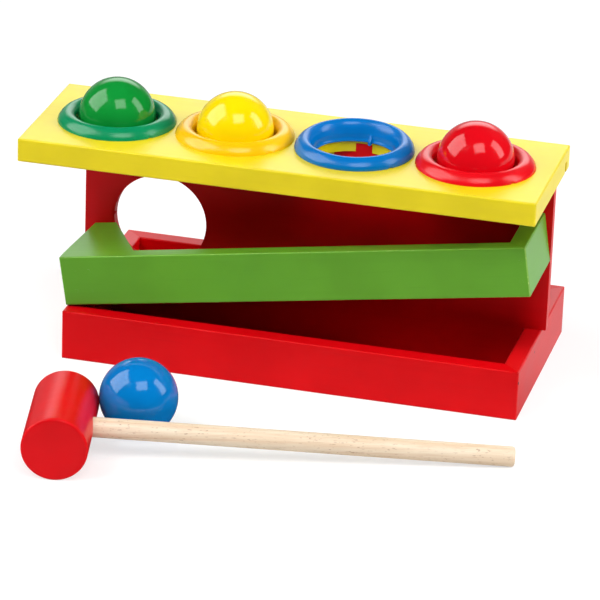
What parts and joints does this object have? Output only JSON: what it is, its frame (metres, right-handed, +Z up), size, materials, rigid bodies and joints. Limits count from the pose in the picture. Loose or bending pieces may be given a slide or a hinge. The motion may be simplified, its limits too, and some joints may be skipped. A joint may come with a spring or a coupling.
{
  "type": "toy workbench",
  "caption": "Wooden pounding bench: balls held in flexible rings on a top board are knocked with a hammer onto a sloping ramp and roll through a hole into the base tray.",
  "frame": {"origin": "middle of the base tray's flat underside, on the surface it stands on", "axes": "+X along the bench towards the high end of the ramp, +Y from the ramp side to the back, +Z up"},
  "size_m": [0.319, 0.3066, 0.1675],
  "materials": {
    "red_paint": "satin red paint on wood",
    "green_paint": "satin green paint on wood",
    "yellow_paint": "satin yellow paint on wood",
    "green_plastic": "gloss",
    "yellow_plastic": "gloss",
    "blue_plastic": "gloss",
    "red_plastic": "gloss",
    "green_lacquer": "gloss green lacquer on a turned wooden ball",
    "yellow_lacquer": "gloss yellow lacquer on a turned wooden ball",
    "blue_lacquer": "gloss blue lacquer on a turned wooden ball",
    "red_lacquer": "gloss red lacquer on turned wood",
    "beech": "plain sanded beech",
    "steel": "bright"
  },
  "bodies": {
    "bench": {"base_front_rail": "red_paint", "base_back_rail": "red_paint", "base_low_rail": "red_paint", "base_high_rail": "red_paint", "base_floor": "red_paint", "base_corner_brads": "steel", "base_floor_brads": "steel", "spine_panel": "red_paint", "ramp_front_rail": "green_paint", "ramp_end_rail": "green_paint", "ramp_deflector": "green_paint", "ramp_floor": "green_paint", "ramp_brads": "steel", "ramp_screws": "steel", "top_board": "yellow_paint", "ring_green": "green_plastic", "ring_yellow": "yellow_plastic", "ring_blue": "blue_plastic", "ring_red": "red_plastic", "grips_green": "green_plastic", "grips_yellow": "yellow_plastic", "grips_blue": "blue_plastic", "grips_red": "red_plastic"},
    "green_ball": {"ball_green": "green_lacquer"},
    "yellow_ball": {"ball_yellow": "yellow_lacquer"},
    "red_ball": {"ball_red": "red_lacquer"},
    "blue_ball": {"ball_blue": "blue_lacquer"},
    "hammer": {"hammer_head": "red_lacquer", "hammer_handle": "beech"}
  },
  "joints": [
    {"name": "green_ball_drop", "type": "slide", "parent": "bench", "child": "green_ball", "axis": [0, 0, -1], "range_m": [0, 0.0549], "deforming": ["grips_green"]},
    {"name": "yellow_ball_drop", "type": "slide", "parent": "bench", "child": "yellow_ball", "axis": [0, 0, -1], "range_m": [0, 0.0707], "deforming": ["grips_yellow"]},
    {"name": "red_ball_drop", "type": "slide", "parent": "bench", "child": "red_ball", "axis": [0, 0, -1], "range_m": [0, 0.0475], "deforming": ["grips_red"]},
    {"name": "blue_ball_lift", "type": "slide", "parent": "bench", "child": "blue_ball", "axis": [0, 0, 1], "range_m": [0, 0.13]},
    {"name": "hammer_lift", "type": "slide", "parent": "bench", "child": "hammer", "axis": [0, 0, 1], "range_m": [0, 0.16]}
  ]
}
